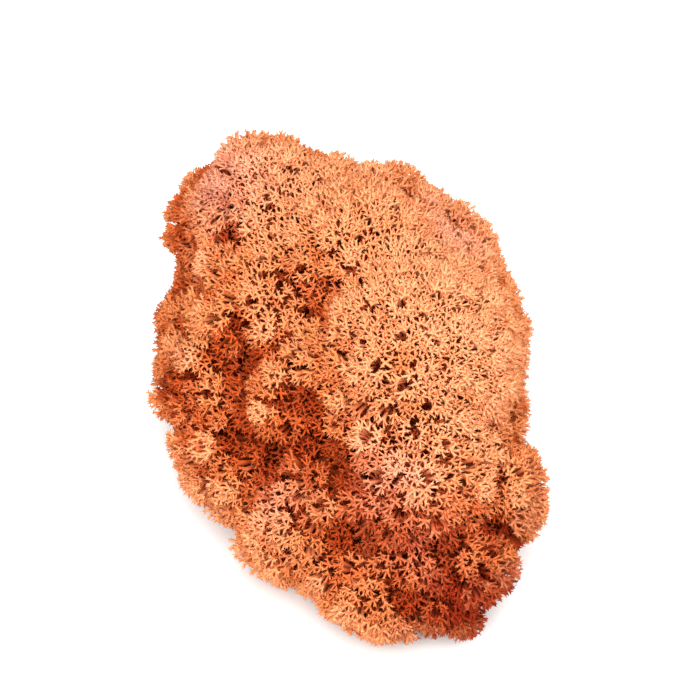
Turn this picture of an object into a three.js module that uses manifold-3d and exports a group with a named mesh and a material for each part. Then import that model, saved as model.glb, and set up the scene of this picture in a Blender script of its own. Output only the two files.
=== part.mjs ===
// A clump of reindeer moss: rounded heads of forked lichen stems that fan out from one foot,
// like the florets of a cauliflower, and meet in one lobed cushion. Each head is a solid of its
// own, with the stems under its share of the cushion standing out as flutes and the star-tipped
// whorls that cover the cushion standing on it.
// Millimetres, +Z up. The origin is on the ground, in the flat spot that the clump rests on.

import * as THREE from "three";
import { mergeVertices } from "three/addons/utils/BufferGeometryUtils.js";
import Module from "manifold-3d";

const wasm = await Module();
wasm.setup();

// ---- driving dimensions ----

// All stems point back to this spot below the ground, where the lichen once grew from.
const ROOT = new THREE.Vector3(0, 0, -15);

// Each head: where its dome is centred, and the dome's radius out to the tips of the whorls.
// +Y is the far side and -X the left.
const HEADS = [
  { name: "head_crown", at: [8.5, -4, 33], radius: 19 },
  { name: "head_crown_far", at: [0, 13.5, 34], radius: 16 },
  { name: "head_upper_right", at: [14, 10.5, 26], radius: 14 },
  { name: "head_upper_far", at: [3, 24.5, 28], radius: 14 },
  { name: "head_upper_far_left", at: [-13.5, 27, 30.5], radius: 15 },
  { name: "head_upper_left", at: [-13.5, 9.5, 27], radius: 15 },
  { name: "head_upper_near_left", at: [-7.5, -5.5, 25], radius: 14.5 },
  { name: "head_upper_near", at: [8.5, -22, 23.5], radius: 15.5 },
  { name: "head_near_shoulder", at: [-3, -18, 19], radius: 14 },
  { name: "head_far_left", at: [-19.5, 31, 22], radius: 13 },
  { name: "head_far", at: [-7, 36.5, 16.5], radius: 12.5 },
  { name: "head_far_right", at: [6, 32.5, 15.5], radius: 12.5 },
  { name: "head_right_ridge", at: [12.5, 22.5, 22], radius: 12.5 },
  { name: "head_right_shoulder", at: [16.5, 14, 16], radius: 12.5 },
  { name: "head_right", at: [17, -1, 17], radius: 12 },
  { name: "head_near_right", at: [19.5, -17, 16.5], radius: 12.5 },
  { name: "head_near_tip", at: [14.5, -29, 12.5], radius: 12.5 },
  { name: "head_near", at: [4, -29, 11.5], radius: 12.5 },
  { name: "head_near_left", at: [-8, -19.5, 13], radius: 13 },
  { name: "head_low_left", at: [-17, -6.5, 14], radius: 13.5 },
  { name: "head_left", at: [-21, 4.5, 16], radius: 13 },
  { name: "head_left_shoulder", at: [-21.5, 16, 15], radius: 12.5 },
];

const NEIGHBOUR_GAP = 0.3; // clear space between one head and the next

// Under each dome the stems run down in a fluted bundle.
const BODY_SIDES = 10;
const FOOT_REACH = 12; // from the root to where the bundle has its full spread
const FOOT_SPREAD = 0.34; // bundle radius per millimetre from the root
const WAIST_REACH = 0.72; // where the bundle is drawn in, as a share of its length
const WAIST_SHARE = 0.8; // and how much of its radius is left there
const FLUTE_DEPTH = 0.16; // share of the radius between a stem and the groove beside it

// The knobbly dome leaves the bundle at an angle below its equator, in radians, and tapers to a
// point inside the bundle, at a depth given as a share of the dome's radius.
const DOME_RINGS = 4;
const DOME_START = -0.35;
const DOME_DEPTH = 1.3;
const KNOB_DEPTH = 0.8; // how far every second corner of the dome is sunk

// A whorl is an open cup on a short stem, with its rim pulled up into points round a pit.
const WHORL_HEIGHT = 3.4; // tips above the dome
const WHORL_CLEAR = 0.4; // a whorl's root stays this far outside every other dome
const WHORL_SPACING = 6.6;
const WHORL_LOWEST = 0.45; // how far below a dome's equator whorls still stand, as a cosine
const WHORL_FLOOR = 5; // no whorl is rooted lower than this
const WHORL_EDGE = 1.4; // a whorl's root stays this far inside its own head
const EDGE_SIZE = 0.72; // size of a whorl at that edge,
const SIZE_GROWTH = 0.12; // and how much larger it is for each millimetre further in
const THREE_POINTED = 0.85; // share of the whorls with three points; the others have four
const TIP_VARIATION = 0.18; // share of a tip's height that varies from tip to tip
const WHORL = {
  stemRadius: 1.1,
  sunk: 1.9,
  pitDepth: 2.7,
  notchRadius: 1.6,
  notchDrop: 1.4,
  tipRadius: 2.8,
};

const FIRST_SEED = 1000;
const GOLDEN_ANGLE = Math.PI * (3 - Math.sqrt(5));
const HEXAGON_AREA = Math.sqrt(3) / 2; // area per point of a triangular grid of spacing 1
const CUTTER = 200; // side of the blocks that cut away a half of space
const MOSS_COLOUR = 0xdc8858;

// ---- helpers ----

// A seeded random number generator, so that every build gives the same clump.
function randomSource(seed) {
  let state = seed;
  return () => {
    state = (Math.imul(state, 1664525) + 1013904223) >>> 0;
    return state / 2 ** 32;
  };
}

function solidOf(geometry) {
  const bare = geometry.clone();
  bare.deleteAttribute("normal");
  bare.deleteAttribute("uv");
  const merged = mergeVertices(bare, 1e-4);
  return new wasm.Manifold(
    new wasm.Mesh({
      numProp: 3,
      vertProperties: new Float32Array(merged.attributes.position.array),
      triVerts: new Uint32Array(merged.index.array),
    }),
  );
}

function geometryOf(solid) {
  const mesh = solid.getMesh();
  return new THREE.BufferGeometry()
    .setAttribute("position", new THREE.BufferAttribute(mesh.vertProperties, 3))
    .setIndex(new THREE.BufferAttribute(mesh.triVerts, 1));
}

// The turn that takes +Z to a direction.
function turnFromUp(direction) {
  return new THREE.Quaternion().setFromUnitVectors(new THREE.Vector3(0, 0, 1), direction);
}

// The block that fills the half of space behind a plane through a point.
function blockBehind(point, normal) {
  const block = new THREE.BoxGeometry(CUTTER, CUTTER, CUTTER);
  block.translate(0, 0, -CUTTER / 2);
  block.applyQuaternion(turnFromUp(normal));
  block.translate(point.x, point.y, point.z);
  return solidOf(block);
}

// ---- how the heads share the space above the root ----

for (const head of HEADS) {
  head.centre = new THREE.Vector3(...head.at);
  const stem = head.centre.clone().sub(ROOT);
  head.reach = stem.length();
  head.axis = stem.normalize();
  head.domeRadius = head.radius - WHORL_HEIGHT;
  // The head's axis, drawn longer the wider the cone that its dome fills as seen from the root.
  head.weight = head.axis.clone().divideScalar(Math.sqrt(1 - (head.radius / head.reach) ** 2));
}

// A plane through the root parts each two heads where their domes meet, so that a wide dome has
// the wider wedge. Its normal points into the first of them.
function partingNormal(head, other) {
  return head.weight.clone().sub(other.weight).normalize();
}

// How far a point lies inside a head's own wedge of space: negative if it is outside.
function insideWedge(point, head) {
  const fromRoot = point.clone().sub(ROOT);
  const margins = HEADS.filter((other) => other !== head).map((other) =>
    partingNormal(head, other).dot(fromRoot),
  );
  return Math.min(...margins) - NEIGHBOUR_GAP / 2;
}

function cutToWedge(solid, head) {
  let kept = solid;
  for (const other of HEADS) {
    if (other === head) continue;
    const normal = partingNormal(head, other);
    const point = ROOT.clone().addScaledVector(normal, NEIGHBOUR_GAP / 2);
    kept = kept.subtract(blockBehind(point, normal));
  }
  const ground = blockBehind(new THREE.Vector3(0, 0, 0), new THREE.Vector3(0, 0, 1));
  return kept.subtract(ground);
}

function largestPiece(solid) {
  return solid.decompose().reduce((a, b) => (b.volume() > a.volume() ? b : a));
}

// ---- one head ----

// Turns an outline about the head's axis: x is the radius, y the distance from the root. Each
// corner is then moved by shape(point, ring, side), with the axis still along +Y.
function turnedSolid(outline, head, shape) {
  const body = new THREE.LatheGeometry(outline, BODY_SIDES);
  const position = body.attributes.position;
  for (let i = 0; i < position.count; i++) {
    const point = new THREE.Vector3().fromBufferAttribute(position, i);
    shape(point, i % outline.length, Math.floor(i / outline.length));
    position.setXYZ(i, point.x, point.y, point.z);
  }
  const turn = new THREE.Quaternion().setFromUnitVectors(new THREE.Vector3(0, 1, 0), head.axis);
  body.applyQuaternion(turn);
  body.translate(ROOT.x, ROOT.y, ROOT.z);
  return solidOf(body);
}

function stemBundle(head) {
  const top = head.reach + head.domeRadius * Math.sin(DOME_START);
  const radius = Math.min(FOOT_SPREAD * top, head.domeRadius);
  const outline = [
    new THREE.Vector2(0, 1),
    new THREE.Vector2(FOOT_SPREAD * FOOT_REACH, FOOT_REACH),
    new THREE.Vector2(radius * WAIST_SHARE, top * WAIST_REACH),
    new THREE.Vector2(radius, top),
    new THREE.Vector2(0, head.reach),
  ];
  return turnedSolid(outline, head, (point, ring, side) => {
    if (side % 2 === 0) return;
    point.x *= 1 - FLUTE_DEPTH;
    point.z *= 1 - FLUTE_DEPTH;
  });
}

function dome(head) {
  const outline = [new THREE.Vector2(0, head.reach - DOME_DEPTH * head.domeRadius)];
  for (let ring = 0; ring <= DOME_RINGS; ring++) {
    const angle = THREE.MathUtils.lerp(DOME_START, Math.PI / 2, ring / DOME_RINGS);
    const across = ring === DOME_RINGS ? 0 : head.domeRadius * Math.cos(angle);
    outline.push(new THREE.Vector2(across, head.reach + head.domeRadius * Math.sin(angle)));
  }
  return turnedSolid(outline, head, (point, ring, side) => {
    if (ring === 0 || ring === outline.length - 1 || (ring + side) % 2 === 0) return;
    point.y -= head.reach;
    point.multiplyScalar(1 - KNOB_DEPTH / head.domeRadius);
    point.y += head.reach;
  });
}

// An open cup with pointed rim, standing on +Z with its root sunk below the plane z = 0.
function whorlGeometry(points, size, random) {
  const positions = [];
  const add = (radius, angle, height) => {
    positions.push(radius * Math.cos(angle) * size, radius * Math.sin(angle) * size, height * size);
    return positions.length / 3 - 1;
  };
  const step = (2 * Math.PI) / points;
  const stem = [];
  const tips = [];
  const notches = [];
  for (let i = 0; i < points; i++) {
    const height = WHORL_HEIGHT * (1 - TIP_VARIATION * random());
    stem.push(add(WHORL.stemRadius, i * step, -WHORL.sunk));
    tips.push(add(WHORL.tipRadius * (1 - (TIP_VARIATION / 2) * random()), i * step, height));
    notches.push(add(WHORL.notchRadius, (i + 0.5) * step, WHORL_HEIGHT - WHORL.notchDrop));
  }
  const pit = add(0, 0, WHORL_HEIGHT - WHORL.pitDepth);
  const faces = [];
  for (let i = 0; i < points; i++) {
    const next = (i + 1) % points;
    faces.push(stem[i], stem[next], notches[i]);
    faces.push(stem[i], notches[i], tips[i]);
    faces.push(stem[next], tips[next], notches[i]);
    faces.push(pit, tips[i], notches[i]);
    faces.push(pit, notches[i], tips[next]);
  }
  for (let i = 1; i < points - 1; i++) faces.push(stem[0], stem[i + 1], stem[i]);
  return new THREE.BufferGeometry()
    .setAttribute("position", new THREE.BufferAttribute(new Float32Array(positions), 3))
    .setIndex(faces);
}

// The whorls on one dome, spread evenly over what shows of it by the golden angle. Each goes to
// the head in whose wedge it stands.
function placeWhorls(home, random) {
  const middle = home.domeRadius + WHORL_HEIGHT / 2;
  const count = Math.round((4 * Math.PI * middle ** 2) / (HEXAGON_AREA * WHORL_SPACING ** 2));
  const toAxis = turnFromUp(home.axis);
  for (let i = 0; i < count; i++) {
    const cosine = 1 - (2 * i + 1) / count;
    if (cosine < -WHORL_LOWEST) break;
    const sine = Math.sqrt(1 - cosine ** 2);
    const turn = i * GOLDEN_ANGLE;
    const spin = random() * 2 * Math.PI;
    const points = random() < THREE_POINTED ? 3 : 4;
    const outward = new THREE.Vector3(sine * Math.cos(turn), sine * Math.sin(turn), cosine);
    outward.applyQuaternion(toAxis);
    const foot = home.centre.clone().addScaledVector(outward, home.domeRadius);
    const buried = HEADS.some(
      (other) =>
        other !== home && foot.distanceTo(other.centre) < other.domeRadius + WHORL_CLEAR,
    );
    const owner = HEADS.find((head) => insideWedge(foot, head) > WHORL_EDGE);
    if (buried || !owner || foot.z < WHORL_FLOOR) continue;
    const inside = insideWedge(foot, owner) - WHORL_EDGE;
    const whorl = whorlGeometry(points, Math.min(1, EDGE_SIZE + inside * SIZE_GROWTH), random);
    whorl.rotateZ(spin);
    whorl.applyQuaternion(turnFromUp(outward));
    whorl.translate(foot.x, foot.y, foot.z);
    owner.whorls.push(solidOf(whorl));
  }
}

// ---- the clump ----

const dyedMoss = new THREE.MeshStandardMaterial({ color: MOSS_COLOUR, roughness: 0.9, metalness: 0 });

for (const head of HEADS) head.whorls = [];
HEADS.forEach((head, index) => placeWhorls(head, randomSource(FIRST_SEED + index)));
const cushion = HEADS.map(dome).reduce((joined, next) => joined.add(next));

const clump = new THREE.Group();
for (const head of HEADS) {
  const parts = [stemBundle(head), ...head.whorls];
  const grown = parts.reduce((joined, next) => joined.add(next), cushion);
  const mesh = new THREE.Mesh(
    geometryOf(largestPiece(cutToWedge(grown, head))),
    dyedMoss.clone(),
  );
  mesh.name = head.name;
  clump.add(mesh);
}

export default clump;
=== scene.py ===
"""A clump of dyed reindeer moss.

Each packed head is replaced by the lichen it stands for: stems that fan up out of the foot and end
in tufts, and the forked sprigs that cover the tufts, in whorls round small pits and singly between
them. Metres, +Z up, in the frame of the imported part.
"""

import math

import bmesh
import bpy
import numpy as np
from mathutils import Matrix, Vector
from mathutils.kdtree import KDTree


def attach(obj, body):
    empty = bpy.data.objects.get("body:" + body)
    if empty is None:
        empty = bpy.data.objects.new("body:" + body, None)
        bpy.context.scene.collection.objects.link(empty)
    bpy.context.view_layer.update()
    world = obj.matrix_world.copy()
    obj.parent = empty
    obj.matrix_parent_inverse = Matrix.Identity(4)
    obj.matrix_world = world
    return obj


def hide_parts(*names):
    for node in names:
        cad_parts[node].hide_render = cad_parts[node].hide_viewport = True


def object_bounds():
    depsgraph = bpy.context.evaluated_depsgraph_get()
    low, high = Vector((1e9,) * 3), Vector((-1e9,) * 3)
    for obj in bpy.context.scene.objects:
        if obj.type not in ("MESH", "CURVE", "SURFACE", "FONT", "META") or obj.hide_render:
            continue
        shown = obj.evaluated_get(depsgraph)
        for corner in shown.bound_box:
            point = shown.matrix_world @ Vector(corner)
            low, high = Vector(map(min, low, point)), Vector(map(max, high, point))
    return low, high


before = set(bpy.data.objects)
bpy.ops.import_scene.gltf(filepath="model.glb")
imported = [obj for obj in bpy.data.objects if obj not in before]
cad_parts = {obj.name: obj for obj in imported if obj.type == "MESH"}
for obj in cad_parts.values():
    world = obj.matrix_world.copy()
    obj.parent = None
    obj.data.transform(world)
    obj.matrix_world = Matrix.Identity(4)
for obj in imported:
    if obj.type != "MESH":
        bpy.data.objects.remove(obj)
cad_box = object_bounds()

# ---- driving dimensions ----

MM = 0.001
SEED = 41
ROOT = np.array([0.0, 0.0, -15.0]) * MM  # all stems point back to this spot below the ground

# Each head: its node, where its dome is centred and the dome's radius, in millimetres, and its
# tint, below 0 where it is redder and darker and above 0 where it is paler. The tint is partly the
# dye's own colour and partly painted light and shade: head_near_tip and head_near_shoulder are
# darker for the shade they lay in, and head_crown and head_right_ridge paler for the light they
# caught.
HEADS = [
    ("head_crown", (8.5, -4, 33), 19, 0.9),
    ("head_crown_far", (0, 13.5, 34), 16, 0.1),
    ("head_upper_right", (14, 10.5, 26), 14, 0.3),
    ("head_upper_far", (3, 24.5, 28), 14, 0.5),
    ("head_upper_far_left", (-13.5, 27, 30.5), 15, -0.2),
    ("head_upper_left", (-13.5, 9.5, 27), 15, 0.7),
    ("head_upper_near_left", (-7.5, -5.5, 25), 14.5, 0.2),
    ("head_upper_near", (8.5, -22, 23.5), 15.5, 1.35),
    ("head_near_shoulder", (-3, -18, 19), 14, -1.3),
    ("head_far_left", (-19.5, 31, 22), 13, 0.2),
    ("head_far", (-7, 36.5, 16.5), 12.5, 0.0),
    ("head_far_right", (6, 32.5, 15.5), 12.5, -0.1),
    ("head_right_ridge", (12.5, 22.5, 22), 12.5, 1.0),
    ("head_right_shoulder", (16.5, 14, 16), 12.5, 0.3),
    ("head_right", (17, -1, 17), 12, 0.2),
    ("head_near_right", (19.5, -17, 16.5), 12.5, -0.2),
    ("head_near_tip", (14.5, -29, 12.5), 12.5, -2.3),
    ("head_near", (4, -29, 11.5), 12.5, 0.75),
    ("head_near_left", (-8, -19.5, 13), 13, 1.0),
    ("head_low_left", (-17, -6.5, 14), 13.5, 0.4),
    ("head_left", (-21, 4.5, 16), 13, -0.8),
    ("head_left_shoulder", (-21.5, 16, 15), 12.5, -0.6),
]
DOME_BLEND = 1.6 * MM  # width over which one dome runs into the next
TINT_BLEND = 3.5 * MM  # and one head's tint
TINT_SPREAD = 0.12  # from one sprig to the next

# Valleys between and in the heads: where each lies on the cushion and how wide it is, in
# millimetres.
VALLEYS = [
    ((-20.5, 0.5, 36), 3.0),
    ((-20.5, -4.5, 33), 3.0),
    ((-7, 0, 44), 2.5),
    ((-6.5, -9, 44), 2.8),
    ((-10.5, -13.5, 37), 2.5),
    ((-15, -19, 28.5), 3.0),
    ((-10, -20.5, 32), 3.5),
    ((-5, -26, 32), 4.0),
    ((-2, -34, 25), 3.5),
    ((1.5, -30.5, 34.5), 2.5),
    ((9, -36, 30), 3.0),
    ((15.5, -36, 25.5), 2.5),
    ((14, -40, 19), 2.4),
    ((-21, -13.5, 26), 3.0),
    ((-21, 17.5, 40), 1.8),
]
VALLEY_DEPTH = 3.2 * MM
# Painted shade: how much redder and darker the valleys are coloured
VALLEY_SHADE_TINT = -1.3

# Where the lichen stands denser, below 0, or looser, above 0, than elsewhere: where that is on the
# cushion and how wide, in millimetres, and by how much.
LOOSENESS = [
    ((13, 8, 47), 9.0, -1.0),
    ((20, -4, 47), 7.0, -1.0),
    ((21, -15, 42), 6.0, -1.0),
    ((10, -8, 51), 6.0, -0.5),
    ((-16, 25, 44), 9.0, -0.8),
    ((-4, 28, 43), 7.0, -0.7),
    ((-6.5, 16.5, 48), 7.0, -0.5),
    ((5, 17, 48), 7.0, -0.5),
    ((4, -21, 41), 6.0, 0.3),
    ((16, -29, 33), 7.0, 0.35),
    ((4, -34, 29), 8.0, 0.35),
]
DENSE_SHADING = 0.5  # share of the painted shade of the depth that is left where the lichen is densest

# Where the tips are pinker and paler: where that is and how wide, in millimetres. This is partly a
# pinker dye and partly a painted highlight, on the ridge at the right, where the tips caught the
# light.
PINK_AND_LIT_TIPS = [
    ((-23, 27, 42), 9.0),
    ((17, 21, 37), 7.0),
    ((-14, -25.5, 25), 5.0),
    ((4, -30, 35), 7.0),
    ((11.5, -37, 26), 6.0),
]

# Tufts, which cover the cushion like the florets of a cauliflower. On the reddest heads they stand
# at unlike heights, so that one looks down between them.
TUFT_RADIUS = (4.6 * MM, 6.2 * MM)
TUFT_SPACING = 6.4 * MM
TUFT_SUNK = 2.8 * MM  # how far some of the tufts of an open head stay below the cushion's surface
TUFT_CLEFT = 1.0 * MM  # clefts between tufts that are deeper than both together are closed
CLEFT_RADIUS = (3.6 * MM, 4.4 * MM)  # by smaller tufts
CLEFT_SPACING = 1.5 * MM
TUFT_BLEND = 0.7 * MM
TUFT_LOWEST = -0.5  # cosine of the angle from the head's axis down to which tufts grow
TUFT_FLOOR = 2.5 * MM

# Whorls, which cover the tufts: rings of sprigs that lean outwards round a pit.
WHORL_SPACING = 4.1 * MM
WHORL_COUNTS = (6, 7, 7, 8)
WHORL_FOOT = 0.5 * MM  # from the whorl's axis to the sprigs' lower ends
WHORL_RING = 1.9 * MM  # and to their tops
WHORL_WIDTHS = (0.65, 1.2)  # the narrowest and the widest whorl, as shares of that
WHORL_WIDENING = 0.5  # share by which it is wider where the lichen is loosest
WHORL_TURN = 0.35  # how far round a sprig may be from its even place, in steps between sprigs
WHORL_REACHES = (0.8, 1.2)  # how far out a sprig's top may be, as shares of the whorl's width
WHORL_RISE = 0.35 * MM  # how far up or down it commonly is

# Single sprigs fill in between the whorls, in layers: how deep under the surface of the tufts their
# tips lie, how far apart they stand, how far they stay from the middle of a pit, and the share of
# them that the most open heads lack.
FILLER_LAYERS = [
    (0.4 * MM, 1.1 * MM, 2.0 * MM, 0.6),
    (2.2 * MM, 1.85 * MM, 1.1 * MM, 0.0),
]
SPRIG_LOWEST = 0.0  # cosine of the angle from a tuft's axis down to which sprigs grow
FLOOR_GAP = 1 * MM

# The lowest layer grows on the cushion itself and closes what the tufts leave open.
BASE_SUNK = 3.8 * MM
BASE_SPACING = 2.05 * MM
BASE_LOWEST = -0.9  # it reaches further down than the tufts do

# Stems, a few to each tuft.
STEM_COUNT = 2
STEM_GATHER = 0.45  # how close they stand at the foot, against how close under the tufts
STEM_SPREAD = 0.9 * MM  # how far from each other those of one tuft end
STEM_RISE = 0.4  # share of its length over which a stem leaves the foot along the head's axis
STEM_ARRIVAL = 0.3  # and over which it comes up into the tuft
STEM_STEPS = 12
STEM_WAVER = 0.8 * MM
STEM_RADII = (0.42 * MM, 0.34 * MM)  # at the foot and at the tuft
STEM_COLOUR = 0.25  # where the stems' colour lies between the dark middle's, 0, and the tips', 1
STEM_TINT = -0.3
TWIGS = 9  # on each stem that ends in a tuft lower than
TWIG_TOP = 19 * MM
TWIG_BARE = 3  # steps at a stem's upper end that have none
TWIG_LENGTH = 4.2 * MM
TWIG_SHORTEST = 0.6  # as a share of that
TWIG_LEAN = (0.2, 0.9)  # how far twigs lean along the stem, against how far they stand out from it
TWIG_SHADE = 3 * MM  # the depth in the cushion whose painted shade they are given

# The middle of a head, where the stems stand too close to see between, coloured dark as painted
# shade.
CORE_SUNK = 8.5 * MM
CORE_LENGTH = 0.7  # share of the way from the dome to the foot that it fills
CORE_TAPER = 0.9
CORE_GRAIN = 1.6 * MM
CORE_ROUGHNESS = 2.0 * MM
# Painted shade: the core's colour lies near the dark end of the depth colours.
CORE_COLOUR = 0.05

# Painted shade: how much darker a sprig is at its foot, where shade falls between the sprigs, and
# how much darker for each reach that it lies deep in the cushion.
SPRIG_SHADING = 0.2
DEPTH_SHADING = 2.1


class Sprig:
    """The last length of a stem, which forks in four and then into three tips on each branch."""

    shapes = 8  # unlike ones, each modelled once and copied
    forks = 4
    foot_radius = 0.2 * MM
    fork_radius = 0.34 * MM
    fork_height = 3.8 * MM
    fork_crown = 0.18 * MM  # how far the middle of the fork stands up
    branch_height = 0.8 * MM
    branch_taper = 0.02 * MM
    branch_crown = 0.1 * MM
    tip_height = 0.5 * MM
    tip_taper = 0.01 * MM
    reach = 5.2 * MM  # from the foot to the tips
    unevenness = 0.07 * MM
    bend = 0.9 * MM
    bend_width = 1.5 * MM
    top_face = 0.9  # a face whose normal points further up than this is a top, not a side


rng = np.random.default_rng(SEED)


# ---- modelling tools ----


def select_faces(piece, wanted):
    """Selects the faces of the piece in edit mode that pass the test, and no others."""
    bpy.ops.mesh.select_all(action="DESELECT")
    cage = bmesh.from_edit_mesh(piece.data)
    for face in cage.faces:
        if wanted(face):
            face.select_set(True)
    bmesh.update_edit_mesh(piece.data)


def apply_modifiers(piece):
    bpy.ops.object.select_all(action="DESELECT")
    piece.select_set(True)
    bpy.context.view_layer.objects.active = piece
    for modifier in list(piece.modifiers):
        bpy.ops.object.modifier_apply(modifier=modifier.name)


def take_shape(piece):
    """The points and triangles of a modelled piece, which is then cleared away."""
    points = np.array([vertex.co for vertex in piece.data.vertices])
    triangles = np.array([face.vertices for face in piece.data.polygons])
    bpy.data.objects.remove(piece)
    return points, triangles


def model_sprig(seed):
    bpy.ops.object.select_all(action="DESELECT")
    bpy.ops.mesh.primitive_cone_add(
        vertices=Sprig.forks,
        radius1=Sprig.foot_radius,
        radius2=Sprig.fork_radius,
        depth=Sprig.fork_height,
    )
    sprig = bpy.context.object
    bpy.ops.object.mode_set(mode="EDIT")
    bpy.ops.transform.translate(value=(0, 0, Sprig.fork_height / 2))
    bpy.ops.mesh.select_mode(type="FACE")
    select_faces(sprig, lambda face: face.normal.z > Sprig.top_face)
    bpy.ops.mesh.poke(offset=Sprig.fork_crown)
    bpy.ops.mesh.inset(
        use_individual=True, thickness=Sprig.branch_taper, depth=Sprig.branch_height
    )
    bpy.ops.mesh.poke(offset=Sprig.branch_crown)
    bpy.ops.mesh.inset(use_individual=True, thickness=Sprig.tip_taper, depth=Sprig.tip_height)
    bpy.ops.mesh.merge(type="COLLAPSE")
    bpy.ops.mesh.select_all(action="SELECT")
    bpy.ops.transform.vertex_random(offset=Sprig.unevenness, seed=seed)
    bpy.ops.mesh.quads_convert_to_tris()
    bpy.ops.object.mode_set(mode="OBJECT")
    bend = sprig.modifiers.new("bend", "DISPLACE")
    bend.texture = bpy.data.textures.new("bend", "CLOUDS")
    bend.texture.noise_scale = Sprig.bend_width
    bend.texture_coords = "LOCAL"
    bend.direction = "RGB_TO_XYZ"
    bend.strength = Sprig.bend
    apply_modifiers(sprig)
    return take_shape(sprig)


# ---- where things grow ----


def turn_from_up(direction, spin=0.0):
    """The rotation that takes +Z to a direction, after a spin about +Z."""
    turn = Vector(direction).to_track_quat("Z", "Y").to_matrix() @ Matrix.Rotation(spin, 3, "Z")
    return np.array(turn)


CENTRES = np.array([centre for _, centre, _, _ in HEADS]) * MM
RADII = np.array([radius for _, _, radius, _ in HEADS]) * MM
TINTS = np.array([tint for *_, tint in HEADS])
REACHES = np.linalg.norm(CENTRES - ROOT, axis=1)
AXES = (CENTRES - ROOT) / REACHES[:, None]
WEIGHTS = AXES / np.sqrt(1 - (RADII / REACHES) ** 2)[:, None]


def inside_wedge(points, head):
    """How far points lie inside a head's own wedge of the space above the root."""
    normals = WEIGHTS[head] - np.delete(WEIGHTS, head, axis=0)
    normals /= np.linalg.norm(normals, axis=1, keepdims=True)
    return ((points - ROOT) @ normals.T).min(axis=1)


def own_head(points):
    """The head in whose wedge each point lies."""
    return np.argmax([inside_wedge(points, head) for head in range(len(HEADS))], axis=0)


class Balls:
    """Balls that run together: the domes of the cushion, or the tufts that cover it."""

    tries = 60  # random places on each ball, for each square of the spacing that its radius covers
    touch = 4  # balls that are closer together than this many blends shape each other
    buried = 2  # a place that lies more blends than this inside other balls is dropped
    settlings = 3  # times that a place is moved to the surface

    def __init__(self, middles, axes, radii, blend):
        self.middles, self.axes, self.radii, self.blend = middles, axes, radii, blend

    def outside(self, points):
        """How far points lie outside the balls, and the way out at each."""
        away = points[:, None] - self.middles
        distances = np.linalg.norm(away, axis=2)
        pulls = np.exp((self.radii - distances) / self.blend)
        outward = (away / distances[..., None] * pulls[..., None]).sum(axis=1)
        outward /= np.linalg.norm(outward, axis=1, keepdims=True)
        return -self.blend * np.log(pulls.sum(axis=1)), outward

    def round_about(self, ball):
        """The balls that touch a ball, and the ball itself."""
        distances = np.linalg.norm(self.middles - self.middles[ball], axis=1)
        near = distances - self.radii - self.radii[ball] < self.touch * self.blend
        return Balls(self.middles[near], self.axes[near], self.radii[near], self.blend)

    def spread(self, spacing, lowest, floor):
        """Places at least a spacing apart all over the balls, with the way out at each."""
        all_places, all_ways = [], []
        for ball, (middle, axis, radius) in enumerate(zip(self.middles, self.axes, self.radii)):
            near = self.round_about(ball)
            ways = rng.normal(size=(int(self.tries * (radius / spacing) ** 2), 3))
            ways /= np.linalg.norm(ways, axis=1, keepdims=True)
            places = middle + ways[ways @ axis > lowest] * radius
            places = places[near.outside(places)[0] > -self.buried * self.blend]
            for _ in range(self.settlings):
                height, ways = near.outside(places)
                places = places - ways * height[:, None]
            high = places[:, 2] > floor
            all_places.append(places[high])
            all_ways.append(ways[high])
        places, ways = np.concatenate(all_places), np.concatenate(all_ways)
        tree = KDTree(len(places))
        for index, place in enumerate(places):
            tree.insert(place, index)
        tree.balance()
        free = np.ones(len(places), bool)
        picks = []
        for pick in rng.permutation(len(places)):
            if free[pick]:
                picks.append(pick)
                free[[index for _, index, _ in tree.find_range(places[pick], spacing)]] = False
        return places[picks], ways[picks]


def nearness(points, spots):
    """How near each point lies to each spot, which is a place and a width: 1 in its middle."""
    middles = np.array([spot[0] for spot in spots]) * MM
    widths = np.array([spot[1] for spot in spots]) * MM
    return np.exp(-((np.linalg.norm(points[:, None] - middles, axis=2) / widths) ** 2))


def valley_at(points):
    """How far into a valley each point lies, from 0 to 1 at its middle."""
    return nearness(points, VALLEYS).max(axis=1)


def looseness_at(points):
    """How much looser than elsewhere the lichen stands, down to -1 where it is densest."""
    return np.clip(nearness(points, LOOSENESS) @ [amount for *_, amount in LOOSENESS], -1, 1)


def tint_at(points):
    """The tint of the heads round each point, run together, and redder and darker in a valley as
    painted shade.
    """
    distances = np.linalg.norm(points[:, None] - CENTRES, axis=2) - RADII
    shares = np.exp(-distances / TINT_BLEND)
    return shares @ TINTS / shares.sum(axis=1) + VALLEY_SHADE_TINT * valley_at(points)


def openness_at(points):
    """How open the cushion is, from 0 to 1: the reddest heads and the loosest places are most."""
    return np.clip((1 - tint_at(points)) / 2 + looseness_at(points), 0, 1)


def places_on(cushion, tops, ways):
    """For each place: itself, the way out, its head, its tint and its depth in the cushion, for
    painted shade.
    """
    dense = np.maximum(-looseness_at(tops), 0)
    depths = np.maximum(-cushion.outside(tops)[0], 0) * (1 - (1 - DENSE_SHADING) * dense)
    tints = tint_at(tops) + rng.normal(0, TINT_SPREAD, len(tops))
    return list(zip(tops, ways, own_head(tops), tints, depths))


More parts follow.
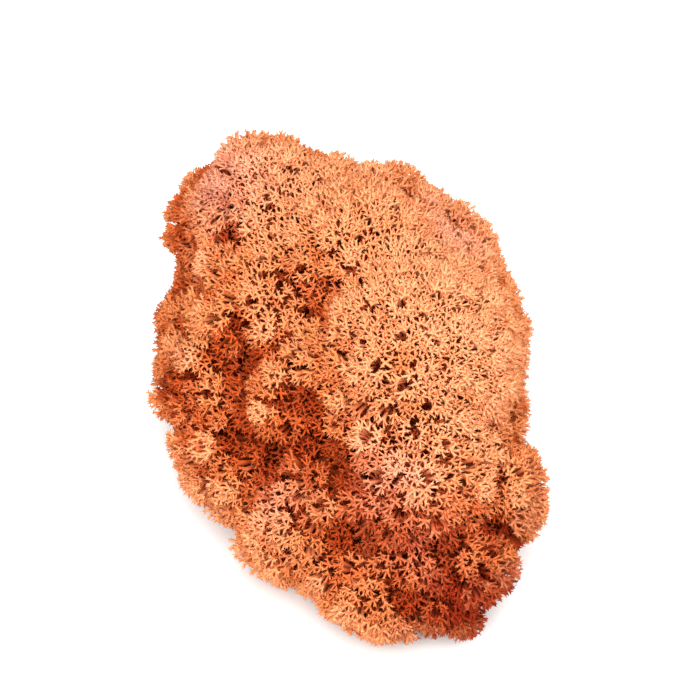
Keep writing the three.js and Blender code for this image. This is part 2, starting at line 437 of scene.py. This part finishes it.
def place_tufts(cushion):
    """The tufts that cover the cushion, and the smaller ones that close the clefts between them."""
    tops, ways = cushion.spread(TUFT_SPACING, TUFT_LOWEST, TUFT_FLOOR)
    radii = rng.uniform(*TUFT_RADIUS, len(tops))
    sunk = TUFT_SUNK * openness_at(tops) * rng.random(len(tops)) + VALLEY_DEPTH * valley_at(tops)
    tufts = Balls(tops - ways * (radii + sunk)[:, None], ways, radii, TUFT_BLEND)
    tops, ways = cushion.spread(CLEFT_SPACING, TUFT_LOWEST, TUFT_FLOOR)
    depths = TUFT_CLEFT + TUFT_SUNK * openness_at(tops) + VALLEY_DEPTH * valley_at(tops)
    bottoms = tops - ways * depths[:, None]
    for bottom, way in zip(bottoms, ways):
        if tufts.outside(bottom[None])[0][0] > 0:
            radius = rng.uniform(*CLEFT_RADIUS)
            middles = np.vstack([tufts.middles, bottom - way * radius])
            axes = np.vstack([tufts.axes, way])
            tufts = Balls(middles, axes, np.append(tufts.radii, radius), TUFT_BLEND)
    return tufts


def place_fillers(cushion, tufts, pits):
    """The single sprigs: the layers on the tufts, which keep clear of the pits, and the lowest."""
    fillers = []
    for sunk, spacing, clear, lacking in FILLER_LAYERS:
        layer = Balls(tufts.middles, tufts.axes, tufts.radii - sunk, TUFT_BLEND)
        tops, ways = layer.spread(spacing, SPRIG_LOWEST, FLOOR_GAP)
        kept = rng.random(len(tops)) > lacking * openness_at(tops)
        clears = clear * (1 + looseness_at(tops))
        for number, (top, way) in enumerate(zip(tops, ways)):
            distances = np.linalg.norm(pits - top - way * sunk, axis=1)
            kept[number] &= distances.min() > clears[number]
        fillers += places_on(cushion, tops[kept], ways[kept])
    base = Balls(CENTRES, AXES, RADII - BASE_SUNK, DOME_BLEND)
    return fillers + places_on(cushion, *base.spread(BASE_SPACING, BASE_LOWEST, FLOOR_GAP))


# ---- growing a head ----


class Growth:
    """Collects the points and triangles of one head."""

    def __init__(self):
        self.points, self.triangles, self.reach, self.tint = [], [], [], []
        self.count = 0

    def add(self, points, triangles, reach, tint):
        self.points.append(points)
        self.triangles.append(triangles + self.count)
        self.reach.append(reach)
        self.tint.append(np.full(len(points), tint))
        self.count += len(points)

    def piece(self, name):
        points = np.concatenate(self.points)
        # How pink and pale the tips are: partly dye and partly painted highlight.
        blush_and_highlight = nearness(points, PINK_AND_LIT_TIPS).max(axis=1)
        mesh = bpy.data.meshes.new(name)
        mesh.from_pydata(points, [], np.concatenate(self.triangles))
        for label, values in (("reach", self.reach), ("tint", self.tint), ("blush_and_highlight", [blush_and_highlight])):
            attribute = mesh.attributes.new(label, "FLOAT", "POINT")
            attribute.data.foreach_set("value", np.concatenate(values))
        mesh.shade_smooth()
        piece = bpy.data.objects.new(name, mesh)
        bpy.context.collection.objects.link(piece)
        return piece


def grow_sprig(growth, foot, top, tint, shade):
    """One sprig from a foot to its tips. shade is how deep those lie in the cushion, which darkens
    the sprig as painted shade.
    """
    points, triangles = sprigs[rng.integers(len(sprigs))]
    length = np.linalg.norm(top - foot)
    turn = turn_from_up(top - foot, rng.uniform(0, 2 * math.pi)) * length / Sprig.reach
    below = 1 - points[:, 2] / Sprig.reach
    reach = np.clip(1 - SPRIG_SHADING * below - DEPTH_SHADING * shade / Sprig.reach, 0, 1)
    growth.add(foot + points @ turn.T, triangles, reach, tint)


def grow_whorl(growth, pit, outward, tint, shade):
    """A ring of sprigs that lean outwards round a pit."""
    count = rng.choice(WHORL_COUNTS)
    turn = turn_from_up(outward, rng.uniform(0, 2 * math.pi))
    width = WHORL_RING * rng.uniform(*WHORL_WIDTHS)
    width *= 1 + WHORL_WIDENING * looseness_at(pit[None])[0]
    for sprig in range(count):
        angle = 2 * math.pi * (sprig + rng.uniform(-WHORL_TURN, WHORL_TURN)) / count
        across = turn @ (math.cos(angle), math.sin(angle), 0)
        ring = width * rng.uniform(*WHORL_REACHES)
        rise = rng.normal(0, WHORL_RISE)
        foot = pit + across * WHORL_FOOT - outward * Sprig.reach
        top = pit + across * ring + outward * rise
        grow_sprig(growth, foot, top, tint + rng.normal(0, TINT_SPREAD), shade)


def stem_path(index, middle, direction):
    """Points along a stem, from the foot of the clump to the middle of a tuft."""
    axis = AXES[index]
    offset = middle - (ROOT + axis * ((middle - ROOT) @ axis))
    start = ROOT - axis * ROOT[2] / axis[2] + offset * STEM_GATHER + rng.normal(0, STEM_SPREAD, 3)
    start *= (1, 1, 0)
    end = middle + rng.normal(0, STEM_SPREAD, 3)
    length = np.linalg.norm(end - start)
    rise, arrival = axis * length * STEM_RISE, direction * length * STEM_ARRIVAL
    handles = [start, start + rise, end - arrival, end]
    steps = np.linspace(0, 1, STEM_STEPS)
    left = 1 - steps
    weights = np.array([left**3, 3 * steps * left**2, 3 * steps**2 * left, steps**3])
    waver = rng.normal(0, STEM_WAVER, (STEM_STEPS, 3)) * np.sin(math.pi * steps)[:, None]
    return weights.T @ handles + waver


def model_stems(paths):
    """Tapered tubes along the paths."""
    curve = bpy.data.curves.new("stems", "CURVE")
    curve.dimensions = "3D"
    curve.bevel_depth = 1.0  # so that a point's radius is the stem's
    curve.bevel_resolution = 0
    curve.use_fill_caps = True
    for path in paths:
        spline = curve.splines.new("POLY")
        spline.points.add(len(path) - 1)
        for point, place, radius in zip(spline.points, path, np.linspace(*STEM_RADII, len(path))):
            point.co = (*place, 1)
            point.radius = radius
    stems = bpy.data.objects.new("stems", curve)
    bpy.context.collection.objects.link(stems)
    bpy.ops.object.select_all(action="DESELECT")
    stems.select_set(True)
    bpy.context.view_layer.objects.active = stems
    bpy.ops.object.convert(target="MESH")
    stems = bpy.context.object
    stems.modifiers.new("triangles", "TRIANGULATE")
    apply_modifiers(stems)
    points, triangles = take_shape(stems)
    points[:, 2] = np.maximum(points[:, 2], 0)
    return points, triangles


def grow_twigs(growth, path):
    """Short sprigs all round the lower part of a stem."""
    for _ in range(TWIGS):
        step = rng.integers(1, STEM_STEPS - TWIG_BARE)
        along = path[step + 1] - path[step]
        foot = path[step] + along * rng.random()
        aside = np.cross(along, rng.normal(size=3))
        lean = along / np.linalg.norm(along) * rng.uniform(*TWIG_LEAN)
        way = aside / np.linalg.norm(aside) + lean
        top = foot + way * TWIG_LENGTH * rng.uniform(TWIG_SHORTEST, 1.0)
        if top[2] > FLOOR_GAP:
            grow_sprig(growth, foot, top, STEM_TINT + rng.normal(0, TINT_SPREAD), TWIG_SHADE)


def model_core(index):
    """The middle of a head, dark with painted shade, drawn out from under its dome towards the
    foot.
    """
    radius = RADII[index] - CORE_SUNK
    bpy.ops.object.select_all(action="DESELECT")
    bpy.ops.mesh.primitive_ico_sphere_add(subdivisions=3, radius=radius)
    core = bpy.context.object
    rough = core.modifiers.new("rough", "DISPLACE")
    rough.texture = bpy.data.textures.new("rough", "CLOUDS")
    rough.texture.noise_scale = CORE_GRAIN
    rough.texture_coords = "LOCAL"
    rough.strength = CORE_ROUGHNESS
    apply_modifiers(core)
    points, triangles = take_shape(core)
    low = points[:, 2] < 0
    points[low, 2] *= (REACHES[index] + ROOT[2] / AXES[index][2]) / radius * CORE_LENGTH
    points[low, :2] *= 1 + CORE_TAPER * points[low, 2:] / REACHES[index]
    return CENTRES[index] + points @ turn_from_up(AXES[index]).T, triangles


def grow_head(index):
    name = HEADS[index][0]
    growth = Growth()
    for pit, way, head, tint, shade in whorls:
        if head == index:
            grow_whorl(growth, pit, way, tint, shade)
    for top, way, head, tint, shade in fillers:
        if head == index:
            grow_sprig(growth, top - way * Sprig.reach, top, tint, shade)
    own = tuft_heads == index
    ends = [end for end in zip(tufts.middles[own], tufts.axes[own]) for _ in range(STEM_COUNT)]
    paths = [stem_path(index, middle, way) for middle, way in ends]
    for path in paths:
        if path[-1][2] < TWIG_TOP:
            grow_twigs(growth, path)
    for (points, triangles), colour in (
        (model_stems(paths), STEM_COLOUR),
        (model_core(index), CORE_COLOUR),
    ):
        growth.add(points, triangles, np.full(len(points), colour), STEM_TINT)
    piece = growth.piece("moss_" + name)
    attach(piece, "root")
    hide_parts(name)
    return piece


# ---- materials ----


def linear(hex_colour):
    """An sRGB hex colour as linear red, green, blue and alpha."""
    channels = [int(hex_colour[i : i + 2], 16) / 255 for i in (1, 3, 5)]
    return (*[c / 12.92 if c <= 0.04045 else ((c + 0.055) / 1.055) ** 2.4 for c in channels], 1.0)


def add_node(tree, kind, inputs=None, **settings):
    """Adds a node. inputs maps a socket to its value, or to the output that feeds it."""
    node = tree.nodes.new("ShaderNode" + kind)
    for name, value in settings.items():
        setattr(node, name, value)
    for socket, value in (inputs or {}).items():
        if isinstance(value, bpy.types.NodeSocket):
            tree.links.new(value, node.inputs[socket])
        else:
            node.inputs[socket].default_value = value
    return node


# The colour by reach, from deep brick in the depth to peach at the tips; the darkening towards the
# depth is painted shade.
DEPTH_COLOURS = [(0.0, "#932d0a"), (0.3, "#c05422"), (0.6, "#dd824b"), (1.0, "#ea9b6a")]
# The pale of the paler heads' tips: partly the dye's own colour and partly painted light.
PALE_TIPS = "#f0a374"
# The pink of those tips: partly dye and partly painted highlight.
PINK_TIPS = "#eba082"
# The red of the reddest heads and of the valleys: partly a redder dye and partly painted shade.
RED_DYE_AND_SHADE = "#90280f"
PALEST = (1.2, 0.75)  # the tint at which tips are palest, and the share of the pale colour there
REDDEST = (-1.6, 0.88)  # the same for the red, which also carries painted shade

# The tone varies over about the width of a sprig, and over patches of a few of them.
MOTTLE_WIDTH = 1.2 * MM
MOTTLE_LIFT = 0.22  # how far the mottle lifts the colour towards the tips', at most
PATCH_WIDTH = 6 * MM
PATCH_CONTRAST = 3.2  # the tint that a patch's noise adds from end to end
NOISE_MIDDLE = 0.5

# The felt of fine threads on a stem is far too fine to show, so it is drawn this coarse.
FELT_WIDTH = 0.25 * MM
FELT_HEIGHT = 0.05 * MM


def dyed_lichen():
    """Dried lichen in a terracotta dye: matt and felted, deep brick inside, with painted shade, and
    peach at the tips.

    The mesh says where on the way to the tips a point lies, darkened as painted shade where it
    lies deep (reach), how red or pale it is there, partly the dye and partly painted light and
    shade (tint), and how pink and pale its tips are, partly a pinker dye and partly a painted
    highlight (blush).
    """
    material = bpy.data.materials.new("dyed_lichen")
    material.use_nodes = True
    tree = material.node_tree
    tree.nodes.clear()
    place = add_node(tree, "TexCoord").outputs["Object"]
    reach, tint, blush_and_highlight = (
        add_node(tree, "Attribute", attribute_name=name).outputs["Fac"]
        for name in ("reach", "tint", "blush_and_highlight")
    )

    # Colour by height, from the painted shade of the depth to the tips
    mottle = add_node(tree, "TexNoise", {"Vector": place, "Scale": 1 / MOTTLE_WIDTH, "Detail": 3.0})
    height = add_node(
        tree,
        "Math",
        {0: mottle.outputs["Fac"], 1: MOTTLE_LIFT, 2: reach},
        operation="MULTIPLY_ADD",
    ).outputs["Value"]
    by_height = add_node(tree, "ValToRGB", {"Fac": height})
    stops = by_height.color_ramp.elements
    while len(stops) < len(DEPTH_COLOURS):
        stops.new(1.0)
    for stop, (position, colour) in zip(stops, DEPTH_COLOURS):
        stop.position, stop.color = position, linear(colour)

    # Paler, pinker and redder patches, on top of the tints and pink tips, which are partly painted
    # light and shade
    patches = add_node(
        tree,
        "TexNoise",
        {"Vector": place, "Scale": 1 / PATCH_WIDTH, "Detail": 1.0, "Roughness": 0.7},
    )
    shift = add_node(
        tree, "Math", {0: patches.outputs["Fac"], 1: NOISE_MIDDLE}, operation="SUBTRACT"
    )
    shade = add_node(
        tree,
        "Math",
        {0: shift.outputs["Value"], 1: PATCH_CONTRAST, 2: tint},
        operation="MULTIPLY_ADD",
    ).outputs["Value"]
    pale, red = (
        add_node(
            tree, "MapRange", {"Value": shade, "From Min": 0.0, "From Max": end, "To Max": share}
        ).outputs["Result"]
        for end, share in (PALEST, REDDEST)
    )
    pale_tips, pink_tips = (
        add_node(tree, "Math", {0: amount, 1: height}, operation="MULTIPLY", use_clamp=True)
        for amount in (pale, blush_and_highlight)
    )
    colour = by_height.outputs["Color"]
    for share, dye in (
        (pale_tips.outputs["Value"], PALE_TIPS),
        (pink_tips.outputs["Value"], PINK_TIPS),
        (red, RED_DYE_AND_SHADE),
    ):
        mix = add_node(tree, "MixRGB", {"Fac": share, "Color1": colour, "Color2": linear(dye)})
        colour = mix.outputs["Color"]

    felt = add_node(tree, "TexNoise", {"Vector": place, "Scale": 1 / FELT_WIDTH, "Detail": 2.0})
    bump = add_node(
        tree, "Bump", {"Height": felt.outputs["Fac"], "Distance": FELT_HEIGHT, "Strength": 0.6}
    )
    surface = add_node(
        tree,
        "BsdfPrincipled",
        {
            "Base Color": colour,
            "Roughness": 0.88,
            "IOR": 1.45,
            "Specular IOR Level": 0.1,
            "Normal": bump.outputs["Normal"],
        },
    )
    add_node(tree, "OutputMaterial", {"Surface": surface.outputs["BSDF"]})
    return material


def matt_white_table():
    """White laminate with a matt face, which gives soft shadows and no mirror image."""
    material = bpy.data.materials.new("matt_white_table")
    material.use_nodes = True
    surface = material.node_tree.nodes["Principled BSDF"]
    surface.inputs["Base Color"].default_value = linear("#f2f0ee")
    surface.inputs["Roughness"].default_value = 0.9
    return material


# ---- the clump ----

sprigs = [model_sprig(seed) for seed in range(Sprig.shapes)]
cushion = Balls(CENTRES, AXES, RADII, DOME_BLEND)
tufts = place_tufts(cushion)
tuft_heads = own_head(tufts.middles + tufts.axes * tufts.radii[:, None])
pits, pit_ways = tufts.spread(WHORL_SPACING, SPRIG_LOWEST, FLOOR_GAP)
whorls = places_on(cushion, pits, pit_ways)
fillers = place_fillers(cushion, tufts, pits)

lichen = dyed_lichen()
for index in range(len(HEADS)):
    grow_head(index).data.materials.append(lichen)

# ---- floor, light and camera ----

TABLE_SIZE = 8.0
CAMERA_ELEVATION = math.radians(53)
CAMERA_DISTANCE = 1.8
CAMERA_REACH = 20.0
VIEW_HEIGHT = 0.112  # height of the view at the clump


def way_back(azimuth, elevation):
    """From the clump towards what looks at it. Azimuths go from the camera's side to the right."""
    return Vector((
        math.sin(azimuth) * math.cos(elevation),
        -math.cos(azimuth) * math.cos(elevation),
        math.sin(elevation),
    ))


def aim_at_clump(item, way):
    """Turns a camera or a lamp, which look along their own -Z, against the way back to it."""
    item.rotation_mode = "QUATERNION"
    item.rotation_quaternion = way.to_track_quat("Z", "Y")


def add_soft_box(name, azimuth, elevation, distance, size, power):
    """A round soft box that faces the clump. Its angles are in degrees."""
    light = bpy.data.lights.new(name, "AREA")
    light.shape = "DISK"
    light.size, light.energy = size, power
    lamp = bpy.data.objects.new(name, light)
    bpy.context.collection.objects.link(lamp)
    way = way_back(math.radians(azimuth), math.radians(elevation))
    lamp.location = way * distance
    aim_at_clump(lamp, way)
    lamp.visible_camera = False


bpy.ops.object.select_all(action="DESELECT")
bpy.ops.mesh.primitive_plane_add(size=TABLE_SIZE)
table = bpy.context.object
table.name = "table"
table.data.materials.append(matt_white_table())

add_soft_box("key_light", azimuth=20, elevation=70, distance=0.8, size=0.8, power=9.7)
add_soft_box("fill_light", azimuth=-35, elevation=40, distance=1.0, size=0.6, power=4.5)

scene = bpy.context.scene
world = bpy.data.worlds.new("studio")
world.use_nodes = True
background = world.node_tree.nodes["Background"]
background.inputs["Color"].default_value = (1, 1, 1, 1)
background.inputs["Strength"].default_value = 1.0
scene.world = world
scene.view_settings.view_transform = "Standard"

low, high = (Vector(corner) for corner in cad_box)
target = (low + high) / 2
camera = bpy.data.cameras.new("camera")
camera.lens = camera.sensor_width * CAMERA_DISTANCE / VIEW_HEIGHT
camera.clip_end = CAMERA_REACH
viewer = bpy.data.objects.new("camera", camera)
bpy.context.collection.objects.link(viewer)
viewer.location = target + way_back(0, CAMERA_ELEVATION) * CAMERA_DISTANCE
aim_at_clump(viewer, way_back(0, CAMERA_ELEVATION))
scene.camera = viewer
